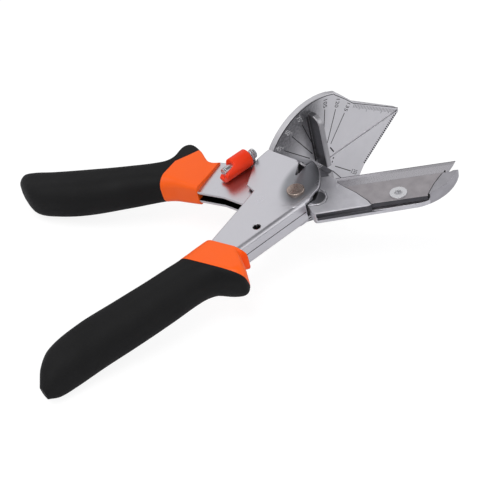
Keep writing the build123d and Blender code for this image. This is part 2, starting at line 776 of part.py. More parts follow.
def report_places(frame):
    """The points and directions that the joints and mounts use."""
    spots = {
        "origin of the angle lines": Vector(0, 0, 0),
        "pivot": pivot,
        "latch": Vector(ear_x, latch_y, latch_z),
        "hang hole": Vector(-hang_hole_back, -hang_hole_drop, 0),
        "blade middle": (open_frame * Pos(blade_heel + blade_l / 2, edge_y, 0)).position,
        "blade tip": (open_frame * Pos(blade_heel + blade_l, edge_y, 0)).position,
        "table tip": Vector(tip_reach, 0, 0),
    }
    for name, spot in spots.items():
        place = (frame * Pos(spot.X, spot.Y, spot.Z)).position
        print(name, [round(v, 3) for v in place])
    start = frame.position
    for name, axis in (("X", (1, 0, 0)), ("Y", (0, 1, 0)), ("Z", (0, 0, 1))):
        end = (frame * Pos(*axis)).position
        print("direction", name, [round(v, 6) for v in end - start])


build()
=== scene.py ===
import json
import math

import bmesh
import bpy
from mathutils import Matrix, Vector


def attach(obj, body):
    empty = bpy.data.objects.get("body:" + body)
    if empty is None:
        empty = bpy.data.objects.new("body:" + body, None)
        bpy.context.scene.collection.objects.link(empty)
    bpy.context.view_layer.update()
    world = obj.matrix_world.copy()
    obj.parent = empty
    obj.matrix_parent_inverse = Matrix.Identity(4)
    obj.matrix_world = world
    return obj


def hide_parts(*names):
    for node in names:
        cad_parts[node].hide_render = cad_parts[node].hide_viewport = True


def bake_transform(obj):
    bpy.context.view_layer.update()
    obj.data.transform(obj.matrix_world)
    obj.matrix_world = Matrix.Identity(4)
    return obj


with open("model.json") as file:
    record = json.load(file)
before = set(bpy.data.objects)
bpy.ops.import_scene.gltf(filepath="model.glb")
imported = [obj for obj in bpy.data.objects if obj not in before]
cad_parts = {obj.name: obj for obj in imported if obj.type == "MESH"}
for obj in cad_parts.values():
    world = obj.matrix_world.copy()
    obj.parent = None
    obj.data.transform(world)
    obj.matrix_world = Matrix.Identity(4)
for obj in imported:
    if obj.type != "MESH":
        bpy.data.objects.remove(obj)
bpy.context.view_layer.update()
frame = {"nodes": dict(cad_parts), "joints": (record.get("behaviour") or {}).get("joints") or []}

# The tool's own frame, read from its two joints: along the slot of the table to its tip,
# away from the blade, and square to the blade towards the face that is photographed.
mm = 0.001
joints = {joint["name"]: joint for joint in frame["joints"]}
pivot = Vector(joints["handle_hinge"]["pos_m"])
square = Vector(joints["handle_hinge"]["axis"]).normalized()
along = Vector(joints["latch_hinge"]["axis"]).normalized()
away = square.cross(along)
pivot_back = 23.1
pivot_drop = 9.3
opening = math.radians(41.0)
table_middle = pivot + (pivot_back * along + pivot_drop * away) * mm
to_tool = Matrix((along, away, square))


def tool(x, y, z=0.0):
    """A point of the tool's frame, in millimetres from where the angle lines meet."""
    return table_middle + (x * along + y * away + z * square) * mm


def blade_side(x, y, z=0.0):
    """A point of the blade's handle, drawn closed and about the pivot, in the opened tool."""
    c, s = math.cos(opening), math.sin(opening)
    return tool(-pivot_back + x * c + y * s, -pivot_drop - x * s + y * c, z)


def in_tool(point):
    """Where a point lies in the tool's frame, in millimetres."""
    return to_tool @ (point - table_middle) / mm


def in_blade_side(point):
    """Where a point of the opened tool lies in the closed drawing of the blade's handle."""
    x, y, z = in_tool(point) + Vector((pivot_back, pivot_drop, 0))
    c, s = math.cos(opening), math.sin(opening)
    return Vector((x * c - y * s, x * s + y * c, z))


def new_object(name, data):
    held = bpy.data.objects.new(name, data)
    bpy.context.scene.collection.objects.link(held)
    return held


# Materials
def linear(text):
    """An sRGB hex colour as the linear colour that the shader takes."""
    levels = [int(text[i:i + 2], 16) / 255 for i in (1, 3, 5)]
    return [c / 12.92 if c <= 0.04045 else ((c + 0.055) / 1.055) ** 2.4 for c in levels] + [1.0]


def connect(tree, node, inputs):
    """Sets a node's inputs, and links those whose value is another node's output."""
    for name, value in inputs.items():
        if isinstance(value, bpy.types.NodeSocket):
            tree.links.new(value, node.inputs[name])
        else:
            node.inputs[name].default_value = value


def add(tree, kind, inputs=None, **settings):
    """Adds a node, with its settings, and sets or links its inputs."""
    node = tree.nodes.new(kind)
    for name, value in settings.items():
        setattr(node, name, value)
    connect(tree, node, inputs or {})
    return node


def start_material(name):
    """A material, its node tree and shader, and the place in the tool's frame."""
    made = bpy.data.materials.new(name)
    made.use_nodes = True
    tree = made.node_tree
    place = add(tree, "ShaderNodeTexCoord").outputs["Object"]
    turned = add(tree, "ShaderNodeMapping", {"Vector": place, "Rotation": to_tool.to_euler()})
    return made, tree, tree.nodes["Principled BSDF"], turned.outputs["Vector"]


# Sizes of the patterns in millimetres: along, away and square. The streaks, scratches and
# grit of the real tool are near 0.1 mm wide, and are drawn wide enough to show.
rolling_streak = (14.0, 0.5, 0.5)
plate_haze = (13.0, 9.0, 9.0)
grinding_scratch = (0.35, 6.0, 7.0)
grinding_patch = (6.0, 6.0, 6.0)
shade_fleck = (1.1, 1.1, 1.1)
skin_grit = (0.45, 0.45, 0.45)
skin_cloud = (5.0, 5.0, 5.0)
blade_scratch = (0.3, 0.3, 3.0)
tumbling_mark = (2.0, 2.0, 2.0)
hand_wear = (16.0, 16.0, 16.0)
mould_texture = (0.5, 0.5, 0.5)
moulding_flow = (12.0, 8.0, 8.0)
etching_speck = (0.4, 0.4, 0.4)
etching_spread = 0.1
edge_samples = 6
# Noise keeps to the middle of its range, and these are that middle's ends
noise_low = 0.3
noise_high = 0.7
# The shares of its size over which a soft spot begins
soft_rim = (1.05, 0.95)
table_rim_r = 31.0
fence_ahead = 36.0
far_off = 300.0


def grain(tree, place, size_mm, detail=2.0):
    """Noise in the tool's frame whose patches measure size_mm along, away and square."""
    scaled = add(tree, "ShaderNodeMapping", {
        "Vector": place, "Scale": [1 / (size * mm) for size in size_mm],
    })
    return add(tree, "ShaderNodeTexNoise", {
        "Vector": scaled.outputs["Vector"], "Scale": 1.0, "Detail": detail,
    }).outputs["Fac"]


def from_spot(tree, place, spot, size_mm, lean=0.0):
    """How far a place is from a spot, in shares of size_mm along, away and square, with
    the sizes turned by lean in the plane of the blade."""
    moved = add(
        tree, "ShaderNodeVectorMath", {0: place, 1: to_tool @ spot}, operation="SUBTRACT",
    )
    turned = add(tree, "ShaderNodeMapping", {
        "Vector": moved.outputs[0], "Rotation": (0, 0, -lean),
    })
    scaled = add(tree, "ShaderNodeMapping", {
        "Vector": turned.outputs["Vector"], "Scale": [1 / (size * mm) for size in size_mm],
    })
    return add(
        tree, "ShaderNodeVectorMath", {0: scaled.outputs["Vector"]}, operation="LENGTH",
    ).outputs["Value"]


def surface(tree, shader, colour, rough, bumps=None, edge_mm=0.0, metallic=1.0):
    """Lets a pattern set each look of the surface: the colour between two colours, the
    roughness between two values, and bumps of a real depth over edges that are rounded
    by edge_mm. Gives back the colour and the direction of the surface."""
    pattern, first, second = colour
    tone = add(tree, "ShaderNodeMix", {
        0: pattern, 6: linear(first), 7: linear(second),
    }, data_type="RGBA").outputs[2]
    pattern, low, high = rough
    dullness = add(tree, "ShaderNodeMapRange", {
        "Value": pattern, "From Min": noise_low, "From Max": noise_high,
        "To Min": low, "To Max": high,
    }).outputs["Result"]
    connect(tree, shader, {"Base Color": tone, "Roughness": dullness, "Metallic": metallic})
    if not bumps:
        return tone, None
    pattern, depth_mm = bumps
    relief = {"Height": pattern, "Strength": 1.0, "Distance": depth_mm * mm}
    if edge_mm:
        rounded = add(tree, "ShaderNodeBevel", {"Radius": edge_mm * mm}, samples=edge_samples)
        relief["Normal"] = rounded.outputs["Normal"]
    normal = add(tree, "ShaderNodeBump", relief).outputs["Normal"]
    connect(tree, shader, {"Normal": normal})
    return tone, normal


def plated_steel(name, painted_shade_spots, soft_spot=None):
    """Pressed steel with bright nickel plate: a soft mirror with faint rolling streaks.
    Where the sheet is pressed in, painted shade darkens it, standing in for the dark
    reflection of the dished sheet, and at a soft spot its slope has no edge that the eye
    can find."""
    made, tree, shader, place = start_material(name)
    streak = grain(tree, place, rolling_streak, 3.0)
    haze = grain(tree, place, plate_haze, 2.0)
    colour, normal = surface(
        tree, shader, (haze, "#CBCACF", "#D8D7DB"), (haze, 0.27, 0.34), (streak, 0.001), 0.6,
    )
    # Painted shade: each spot mixes the plate's colour towards its darker shade
    for spot, size_mm, lean, (start, end), shade in painted_shade_spots:
        near = add(tree, "ShaderNodeMapRange", {
            "Value": from_spot(tree, place, spot, size_mm, lean),
            "From Min": start, "From Max": end,
        }, interpolation_type="SMOOTHSTEP")
        colour = add(tree, "ShaderNodeMix", {
            0: near.outputs["Result"], 6: colour, 7: linear(shade),
        }, data_type="RGBA").outputs[2]
    if soft_spot:
        near = add(tree, "ShaderNodeMapRange", {
            "Value": from_spot(tree, place, *soft_spot),
            "From Min": soft_rim[0], "From Max": soft_rim[1],
        }, interpolation_type="SMOOTHSTEP")
        normal = add(tree, "ShaderNodeMix", {
            0: near.outputs["Result"], 4: normal, 5: square,
        }, data_type="VECTOR").outputs[1]
    connect(tree, shader, {"Base Color": colour, "Normal": normal})
    return made


def ground_casting():
    """Die-cast aluminium with a ground face: fine scratches across, and the half behind
    the fence darker towards the rim, as painted shade standing in for the reflection of
    the dark fence and handle."""
    made, tree, shader, place = start_material("ground_cast_aluminium")
    scratch = grain(tree, place, grinding_scratch, 4.0)
    patch = grain(tree, place, grinding_patch, 5.0)
    fleck = grain(tree, place, shade_fleck, 3.0)
    colour, _ = surface(
        tree, shader, (patch, "#CECDD0", "#DEDDE0"), (patch, 0.32, 0.44), (scratch, 0.004), 0.3,
    )
    # Painted shade: the half behind the fence darkens towards the rim, mottled by flecks
    rim = from_spot(tree, place, tool(0, 0, 0), (table_rim_r, table_rim_r, table_rim_r))
    ahead = from_spot(tree, place, tool(fence_ahead, 0, 0), (fence_ahead, far_off, far_off))
    near_rim = add(tree, "ShaderNodeMapRange", {
        "Value": rim, "From Min": 0.38, "From Max": 0.92,
    }, interpolation_type="SMOOTHSTEP")
    behind_fence = add(tree, "ShaderNodeMapRange", {
        "Value": ahead, "From Min": 0.72, "From Max": 1.05,
    }, interpolation_type="SMOOTHSTEP")
    # How strong the painted shade is: near the rim and behind the fence
    skin = add(tree, "ShaderNodeMath", {
        0: near_rim.outputs["Result"], 1: behind_fence.outputs["Result"],
    }, operation="MULTIPLY")
    flecks = add(tree, "ShaderNodeMapRange", {
        "Value": fleck, "From Min": noise_low, "From Max": noise_high,
        "To Min": 0.70, "To Max": 1.0,
    })
    mottled = add(tree, "ShaderNodeMath", {
        0: skin.outputs[0], 1: flecks.outputs["Result"],
    }, operation="MULTIPLY")
    painted_rim_shade = add(tree, "ShaderNodeMix", {
        0: mottled.outputs[0], 6: colour, 7: linear("#727275"),
    }, data_type="RGBA")
    connect(tree, shader, {"Base Color": painted_rim_shade.outputs[2]})
    return made


def dull_metal(name, dark, light, depth_mm):
    """Metal with a skin that isn't polished, as cast, ground or greased: it is grainy and
    scatters into a dull grey."""
    made, tree, shader, place = start_material(name)
    grit = grain(tree, place, skin_grit, 3.0)
    cloud = grain(tree, place, skin_cloud, 3.0)
    surface(tree, shader, (cloud, dark, light), (grit, 0.34, 0.52), (grit, depth_mm), 0.35)
    return made


def ground_blade():
    """Hardened steel, finely ground: an even fine grain with a soft gleam."""
    made, tree, shader, place = start_material("ground_blade_steel")
    scratch = grain(tree, place, blade_scratch, 4.0)
    surface(
        tree, shader, (scratch, "#A6A4A7", "#B9B7BB"), (scratch, 0.24, 0.36), (scratch, 0.003),
    )
    return made


def turned_steel(name, dark, light, depth_mm=0.0015):
    """Turned and plated small steel parts: near bright, with light tumbling marks."""
    made, tree, shader, place = start_material(name)
    mark = grain(tree, place, tumbling_mark, 2.0)
    surface(tree, shader, (mark, dark, light), (mark, 0.22, 0.34), (mark, depth_mm), 0.25)
    return made


def moulded_grip():
    """Thermoplastic elastomer from an eroded mould: matte black with a fine even grit."""
    made, tree, shader, place = start_material("moulded_elastomer_black")
    grit = grain(tree, place, skin_grit, 2.0)
    wear = grain(tree, place, hand_wear, 3.0)
    surface(
        tree, shader, (grit, "#090909", "#151516"), (wear, 0.60, 0.74), (grit, 0.035),
        metallic=0.0,
    )
    connect(tree, shader, {"Specular IOR Level": 0.22})
    return made


def moulded_plastic(name, dark, light):
    """Satin polypropylene: even colour, a soft sheen and a very slight mould texture."""
    made, tree, shader, place = start_material(name)
    texture = grain(tree, place, mould_texture, 2.0)
    flow = grain(tree, place, moulding_flow, 2.0)
    surface(
        tree, shader, (flow, dark, light), (flow, 0.36, 0.46), (texture, 0.006), 0.3,
        metallic=0.0,
    )
    connect(tree, shader, {"Specular IOR Level": 0.3})
    return made


def etched_line(name, dark, light, rough):
    """The floor of an etched mark: dull, with a broken tone."""
    made, tree, shader, place = start_material(name)
    speck = grain(tree, place, etching_speck, 2.0)
    surface(
        tree, shader, (speck, dark, light),
        (speck, rough - etching_spread, rough + etching_spread), metallic=0.4,
    )
    return made


# How far the pressed zone of the lower channel leans
press_lean = math.radians(24)

# A spot of painted shade, standing in for the dark reflection of a dished sheet: its
# middle, its sizes, its lean, where it starts and is full, and its shade
chrome = plated_steel("nickel_plated_steel", [
    (blade_side(8.4, -4.8, 2.9), (3.9, 4.1, 3.0), -opening, (1.02, 0.90), "#77777B"),
])
pressed_chrome = plated_steel("nickel_plated_pressed_steel", [
    (tool(-17.5, -7.0, 4.5), (15.5, 8.0, 40.0), press_lean, (1.10, 0.66), "#96979B"),
], soft_spot=(tool(-21.8, -4.8, 4.85), (16.0, 8.4, 1.4), press_lean))
casting = ground_casting()
# The fences' walls: as-cast skin, its grey set darker as painted shade
cast_skin_painted_shade = dull_metal("as_cast_aluminium", "#66666A", "#7C7C7F", 0.02)
carrier_zinc = dull_metal("die_cast_zinc", "#C2C1C6", "#E2E1E5", 0.035)
nose_zinc = dull_metal("die_cast_zinc_handled", "#98979B", "#BAB8BD", 0.02)
carrier_skin = dull_metal("die_cast_zinc_dark_skin", "#47474A", "#5C5B60", 0.05)
clamp_zinc = dull_metal("die_cast_zinc_tumbled", "#938F92", "#BDB8BA", 0.04)
rim_ground = dull_metal("ground_cast_aluminium_rim", "#C9C8CB", "#DDDCDF", 0.006)
# Bevels that turn from the light: their darker grey is painted shade
bevel_zinc_painted_shade = dull_metal("die_cast_zinc_bevel_painted_shade", "#77777A", "#A3A2A5", 0.015)
fence_top = dull_metal("as_cast_aluminium_worn", "#A09FA2", "#B7B6B9", 0.02)
blade_steel = ground_blade()
bright_zinc = turned_steel("zinc_plated_turned_steel", "#C8C8CA", "#DADADC", 0.0005)
rivet_steel = turned_steel("bronzed_turned_steel", "#AE9E94", "#BAAAA0", 0.0003)
plain_steel = turned_steel("oiled_turned_steel", "#8A8A8D", "#9C9C9F")
# The channels' inner faces: grease, and near black as painted shade
inner_steel_painted_shade = dull_metal("greased_steel_in_painted_shade", "#1E1E1F", "#2A2A2B", 0.01)
grip_black = moulded_grip()
collar_orange = moulded_plastic("satin_polypropylene_orange", "#FB5D0A", "#FF650E")
sleeve_red = moulded_plastic("satin_polypropylene_red", "#EE320A", "#F83E0E")
# Dark etched marks, and the same dark as painted shade: the blade's very edge, the line inside the
# rim and the strip at the fences' root
dark_mark_and_painted_shade = etched_line("etched_mark_and_painted_shade", "#2E2D30", "#403F42", 0.6)
# Black ticks and dashes, and the same black as painted shade in the clamp's seam
black_tick_and_painted_shade = etched_line("blackened_tick_and_painted_shade", "#0E0E0F", "#19191A", 0.7)
tick_grey = etched_line("worn_tick", "#77767A", "#9A999C", 0.5)
mark_light = etched_line("etched_mark_light", "#BDBDBF", "#D2D2D3", 0.4)

node_materials = {
    "blade": blade_steel,
    "clamp_screw": bright_zinc,
    "latch_screw": bright_zinc,
    "latch_lever": bright_zinc,
    "pivot_rivet": rivet_steel,
    "table_rivets": plain_steel,
    "carrier_rivets": plain_steel,
    "pivot_bush": plain_steel,
    "pivot_washers": plain_steel,
}
for node_name, node_material in node_materials.items():
    for slot in frame["nodes"][node_name].material_slots:
        slot.material = node_material


# Meshes. Edges flatter than the soft angle are smoothed, and points of a cut that lie as
# near as same_place, in metres, are one
soft_angle = math.radians(48)
same_place = 1e-7


def join_rings(bm, first, second):
    """Faces between two closed rings that have the same number of corners."""
    for k in range(len(first)):
        n = (k + 1) % len(first)
        bm.faces.new((first[k], first[n], second[n], second[k]))


def make_piece(name, bm, material, body):
    mesh = bpy.data.meshes.new(name)
    bmesh.ops.recalc_face_normals(bm, faces=bm.faces)
    for face in bm.faces:
        face.smooth = True
    bm.to_mesh(mesh)
    bm.free()
    mesh.set_sharp_from_angle(angle=soft_angle)
    mesh.materials.append(material)
    piece = new_object(name, mesh)
    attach(piece, body)
    return piece


def cut_through(bm, spot, across, **settings):
    """Parts all faces along a plane."""
    geometry = bm.verts[:] + bm.edges[:] + bm.faces[:]
    return bmesh.ops.bisect_plane(
        bm, geom=geometry, plane_co=spot, plane_no=across, dist=same_place, **settings,
    )


def recast(name, body, materials, choose, drawn, reshape=None, cuts=()):
    """Takes the place of a CAD node with its own shape, and chooses a material for each
    face from where it lies and looks in its drawing. A cut parts the faces first."""
    mesh = frame["nodes"][name].data.copy()
    bm = bmesh.new()
    bm.from_mesh(mesh)
    for spot, across in cuts:
        cut_through(bm, spot, across)
    bm.to_mesh(mesh)
    bm.free()
    mesh.materials.clear()
    for material in materials:
        mesh.materials.append(material)
    flat = drawn(table_middle)
    for polygon in mesh.polygons:
        centre = drawn(polygon.center)
        normal = drawn(table_middle + polygon.normal * mm) - flat
        polygon.material_index = materials.index(choose(centre, normal))
    if reshape:
        for vertex in mesh.vertices:
            vertex.co = reshape(vertex.co)
    piece = new_object(name + "_cast", mesh)
    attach(piece, body)
    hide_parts(name)


def smooth_through(stations, x):
    """The values of a station between two given ones, on a smooth curve."""
    order = sorted(stations)
    k = max(i for i in range(len(order) - 1) if order[i][0] <= x or i == 0)
    before = order[max(k - 1, 0)]
    first, second = order[k], order[k + 1]
    after = order[min(k + 2, len(order) - 1)]
    span = second[0] - first[0]
    t = (x - first[0]) / span
    values = []
    for i in range(1, len(first)):
        leave = (second[i] - before[i]) / (second[0] - before[0]) * span
        arrive = (after[i] - first[i]) / (after[0] - first[0]) * span
        values.append(
            (2 * t ** 3 - 3 * t ** 2 + 1) * first[i] + (t ** 3 - 2 * t ** 2 + t) * leave
            + (3 * t ** 2 - 2 * t ** 3) * second[i] + (t ** 3 - t ** 2) * arrive
        )
    return values


# The grips: skins through stations, each cut where it ends. A bead rounds the cut's edge,
# and a collar stands proud of its grip; both are in millimetres
corner_steps = 9
side_steps = 5
ring_gap = 1.0
cap_share = 0.5
bead = 0.45
bead_steps = 3
proud = 0.08
quarter_turn = math.pi / 2


def grip_section(inner, outer, half, rounded):
    """A rounded rectangle as points in the away and square directions."""
    a, b = (outer - inner) / 2, half
    r = rounded * min(a, b)

    def on_corner(quarter, angle):
        sx = 1 if quarter % 4 in (0, 3) else -1
        sz = 1 if quarter % 4 in (0, 1) else -1
        return sx * (a - r) + r * math.cos(angle), sz * (b - r) + r * math.sin(angle)

    points = []
    for quarter in range(4):
        turn = quarter * quarter_turn
        for k in range(corner_steps + 1):
            points.append(on_corner(quarter, turn + k / corner_steps * quarter_turn))
        last = points[-1]
        end = on_corner(quarter + 1, turn + quarter_turn)
        for k in range(1, side_steps):
            share = k / side_steps
            points.append(tuple(p + (q - p) * share for p, q in zip(last, end)))
    middle = (inner + outer) / 2
    return [(middle + x, z) for x, z in points]


def grip_mesh(stations, place, side):
    """A closed skin through the stations of a grip. side is -1 where the grip's outside
    lies towards the blade."""
    bm = bmesh.new()
    low, high = min(stations)[0], max(stations)[0]
    count = round((high - low) / ring_gap)
    rings = []
    for k in range(count + 1):
        x = low + (high - low) * k / count
        section = grip_section(*smooth_through(stations, x))
        rings.append([bm.verts.new(place(x, side * y, z)) for y, z in section])
    for first, second in zip(rings, rings[1:]):
        join_rings(bm, first, second)
    for ring in (rings[0], rings[-1]):
        middle = sum((v.co for v in ring), Vector()) / len(ring)
        small = [bm.verts.new(v.co.lerp(middle, cap_share)) for v in ring]
        join_rings(bm, ring, small)
        bm.faces.new(small)
    return bm


def cut_off(bm, spot, normal):
    """Cuts away what lies on the normal's side, closes the cut and rounds its edge."""
    cut = cut_through(bm, spot, normal, clear_outer=True)
    rim = [e for e in cut["geom_cut"] if isinstance(e, bmesh.types.BMEdge)]
    bmesh.ops.holes_fill(bm, edges=rim, sides=0)
    bmesh.ops.bevel(
        bm, geom=rim, offset=bead * mm, segments=bead_steps, profile=0.5, affect="EDGES",
        clamp_overlap=True,
    )


def part_grip(name, stations, place, side, front, under, seams, body):
    """A grip that runs a little under its collar, which stands proud of it. A cut is a
    point, how far it leans in degrees, and how far it dips towards the back."""
    grown = [
        (x, inner - proud, outer + proud, half + proud, rounded)
        for x, inner, outer, half, rounded in stations
    ]
    parts = (
        ("grip", stations, [under], [], grip_black, "black_grip"),
        ("grip_collar", grown, [front], seams, collar_orange, "orange_collar"),
    )
    for suffix, rows, ahead, behind, material, slot in parts:
        bm = grip_mesh(rows, place, side)
        for cut in ahead + behind:
            x, y, lean, dip = cut
            spot = place(x, y, 0)
            a = math.radians(lean)
            across = place(x + math.cos(a), y + math.sin(a), dip) - spot
            cut_off(bm, spot, across.normalized() * (1 if cut in ahead else -1))
        piece = make_piece(f"{name}_{suffix}_skin", bm, material, body)
        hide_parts(f"{name}_{suffix}")


# A station: along, inner side, outer side, half thickness, rounded share
lower_stations = [
    (-58.0, 5.4, 22.4, 6.0, 0.60), (-60.6, 5.0, 22.5, 6.4, 0.60), (-63.0, 4.4, 20.6, 6.7, 0.60),
    (-65.6, 3.8, 26.4, 7.0, 0.60), (-68.1, 3.6, 30.8, 7.3, 0.62), (-71.0, 3.6, 32.2, 7.6, 0.66),
    (-74.1, 3.6, 29.6, 8.0, 0.72), (-78.4, 3.6, 23.6, 8.4, 0.80), (-86.0, 3.6, 21.2, 9.0, 0.85),
    (-99.0, 3.0, 20.8, 9.2, 0.85), (-114.0, 1.6, 20.2, 9.3, 0.85), (-130.0, 0.4, 19.0, 9.3, 0.85),
    (-144.0, 2.2, 18.6, 8.6, 0.85), (-151.0, 7.4, 18.4, 6.5, 0.85),
    (-155.5, 13.0, 18.0, 2.6, 0.85),
]
lower_front = (-64.9, -12.0, 21.5, 0.0)
lower_under = (-71.0, -12.0, 21.5, 0.35)
lower_seams = [(-76.4, -12.0, 21.5, 0.35)]
upper_stations = [
    (-32.0, 4.0, 28.5, 4.0, 0.40), (-39.4, 8.6, 30.6, 4.3, 0.40), (-43.0, 10.3, 38.2, 5.0, 0.40),
    (-47.5, 12.5, 44.0, 5.6, 0.45), (-51.5, 14.5, 43.0, 6.2, 0.50), (-55.0, 16.0, 36.6, 6.8, 0.60),
    (-60.0, 17.0, 33.9, 7.6, 0.70), (-77.0, 16.0, 34.4, 8.8, 0.85), (-97.0, 15.6, 36.2, 9.2, 0.85),
    (-112.0, 17.8, 38.3, 9.0, 0.85), (-122.0, 21.5, 41.0, 7.8, 0.85),
    (-128.0, 30.0, 42.6, 5.4, 0.85), (-130.8, 36.5, 42.2, 2.4, 0.85),
]
upper_front = (-38.2, 20.8, -28.0, 0.0)
upper_under = (-51.0, 20.8, -36.5, 0.0)
upper_seams = [(-48.6, 34.5, -53.7, 0.0), (-57.6, 23.2, -26.0, 0.0)]
part_grip(
    "lower", lower_stations, tool, -1, lower_front, lower_under, lower_seams, "table_handle",
)
part_grip(
    "upper", upper_stations, blade_side, 1, upper_front, upper_under, upper_seams,
    "blade_handle",
)

# The far half of the table is narrower in the photograph than the half that is seen whole
far_share = 0.86
far_start = 2.0
far_whole = 6.0


def narrowed(point):
    x, y, z = in_tool(point)
    t = min(max((-z - far_start) / (far_whole - far_start), 0), 1)
    return tool(x, y, z * (1 - (1 - far_share) * t * t * (3 - 2 * t)))


# Where the finishes change on the castings and the blade, in millimetres of their drawings
rim_wall_r = 28.0
fence_back = -3.2
fence_front = 0.2
fence_foot = -0.1
strip_from = 8.0
strip_to = 31.0
strip_top = -13.7
strip_back = -1.3
strip_face = 2.25
strip_floor = 0.1
clamp_strip_top = -13.0
bevel_end = 40.0
nose_from = 54.0
blade_edge = 9.6
edge_line_w = 0.4
# How far a face turns, as a share of its normal
upright = 0.5
fence_flat = 0.2
underside = 0.8
bevel_least = 0.2
bevel_most = 0.9
bevel_forward = 0.3


def table_finish(centre, normal):
    """The face and fences are ground or worn, their walls keep the cast skin, whose dark
    grey is partly painted shade for walls that turn from the light.
    """
    by_rim = math.hypot(centre.x, centre.z) > rim_wall_r
    if centre.y > 0 and abs(normal.y) < upright and by_rim:
        return rim_ground
    if not (centre.y < fence_foot and fence_back < centre.x < fence_front):
        return casting
    return fence_top if normal.y < -fence_flat else cast_skin_painted_shade


def on_bevel(normal):
    return bevel_least < normal.y < bevel_most and normal.z > bevel_forward


def carrier_finish(centre, normal):
    """Dark skin in the side strips, bevels darkened as painted shade, and a nose that
    hands have dulled.
    """
    in_strip = strip_from < centre.x < strip_to and centre.y < strip_top
    in_strip = in_strip and strip_back < centre.z < strip_face
    if in_strip and (normal.y < -underside or abs(centre.z) < strip_floor):
        return carrier_skin
    if on_bevel(normal) and centre.x < bevel_end:
        return bevel_zinc_painted_shade
    return nose_zinc if centre.x > nose_from else carrier_zinc


def clamp_finish(centre, normal):
    if normal.y < -underside and centre.y < clamp_strip_top:
        return carrier_skin
    return bevel_zinc_painted_shade if on_bevel(normal) else clamp_zinc


def channel_finish(plate):
    """The finish of a channel: plate outside, and grease darkened to near black as painted
    shade where its cheeks face inwards.
    """
    def finish(centre, normal):
        inside = abs(normal.z) > upright and centre.z * normal.z < 0
        return inner_steel_painted_shade if inside else plate
    return finish


def blade_finish(centre, normal):
    """The very edge looks dark, as its bevel turns away from the light."""
    at_edge = centre.y > blade_edge - edge_line_w and centre.z > 0
    return dark_mark_and_painted_shade if at_edge else blade_steel


blade_onward = blade_side(1, 0) - blade_side(0, 0)
blade_upward = blade_side(0, 1) - blade_side(0, 0)
recast(
    "angle_table", "table_handle", [casting, cast_skin_painted_shade, fence_top, rim_ground],
    table_finish, in_tool, narrowed,
)
recast(
    "blade_carrier", "blade_handle",
    [carrier_zinc, carrier_skin, bevel_zinc_painted_shade, nose_zinc], carrier_finish, in_blade_side,
    cuts=[(tool(0, 0, strip_back), square), (blade_side(nose_from, 0), blade_onward)],
)
recast(
    "blade_clamp_plate", "blade_handle",
    [clamp_zinc, carrier_skin, bevel_zinc_painted_shade], clamp_finish, in_blade_side,
)
recast(
    "lower_handle_channel", "table_handle", [pressed_chrome, inner_steel_painted_shade],
    channel_finish(pressed_chrome), in_tool,
)
recast(
    "upper_handle_channel", "blade_handle", [chrome, inner_steel_painted_shade],
    channel_finish(chrome), in_tool,
)
recast(
    "blade", "blade_handle", [blade_steel, dark_mark_and_painted_shade],
    blade_finish, in_blade_side,
    cuts=[(blade_side(0, blade_edge - edge_line_w), blade_upward)],
)

# The return spring, copied as it is drawn and left in place. The real spring winds up as
# the handles close, from one leg, which stays with the table's handle, to the other, which
# goes with the blade's handle; this copy doesn't.
spring_mesh = frame["nodes"]["return_spring"].data.copy()
spring_mesh.materials.clear()
spring_mesh.materials.append(plain_steel)
spring = new_object("return_spring_wound", spring_mesh)
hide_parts("return_spring")
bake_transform(spring)


def lay_line(bm, points, width, foot, top):
    """A thin bar along each stretch of a line, in millimetres. foot and top say where a
    point of the line's plan lies at the bar's underside and on its top."""
    for first, second in zip(points, points[1:]):
        a, b = Vector(first), Vector(second)
        side = (b - a).normalized().orthogonal() * width / 2
        corners = [a + side, b + side, b - side, a - side]
        low = [bm.verts.new(foot(*p)) for p in corners]
        high = [bm.verts.new(top(*p)) for p in corners]
        bm.faces.new(high)
        bm.faces.new(reversed(low))
        join_rings(bm, low, high)


# A thin dark line along the web of the lower channel
web_line = [(-64.0, 0.35), (-27.0, 0.35)]
web_line_w = 0.4
web_low = -19.18
web_top = -19.23

web_dark_bar = bmesh.new()
lay_line(
    web_dark_bar, web_line, web_line_w,
    lambda x, z: tool(x, web_low, z), lambda x, z: tool(x, web_top, z),
)
make_piece("web_dark_line", web_dark_bar, dark_mark_and_painted_shade, "table_handle")

# Painted shade: dark bars that fill the gap between the clamp plate and the carrier
seam_top = 2.45
seam_low = 0.75
seam_w = 0.34
back_seam = [(20.1, -0.4), (24.3, -4.3), (29.3, -11.0), (31.0, -13.2)]
front_seam = [(53.6, -13.2), (54.0, -12.2), (57.0, -6.2), (61.3, 0.4), (61.9, 1.5)]

seam_painted_shade = bmesh.new()
for seam in (back_seam, front_seam):
    lay_line(
        seam_painted_shade, seam, seam_w,
        lambda x, y: blade_side(x, y, seam_low), lambda x, y: blade_side(x, y, seam_top),
    )
make_piece("clamp_seam_painted_shade", seam_painted_shade, black_tick_and_painted_shade, "blade_handle")

# The latch's sleeve: a thick tube, cut square at the ear and stepped at its other end
sleeve_r = 4.2
sleeve_bore = 2.1
sleeve_round = 0.5
sleeve_right = -22.85
sleeve_left = -34.9
sleeve_slant = 2.9
step_steepness = 2.2
sleeve_axis = Vector((22.2, 7.6))
sleeve_upper = Vector((0.492, 0.870))
sleeve_sides = 64
round_steps = 4


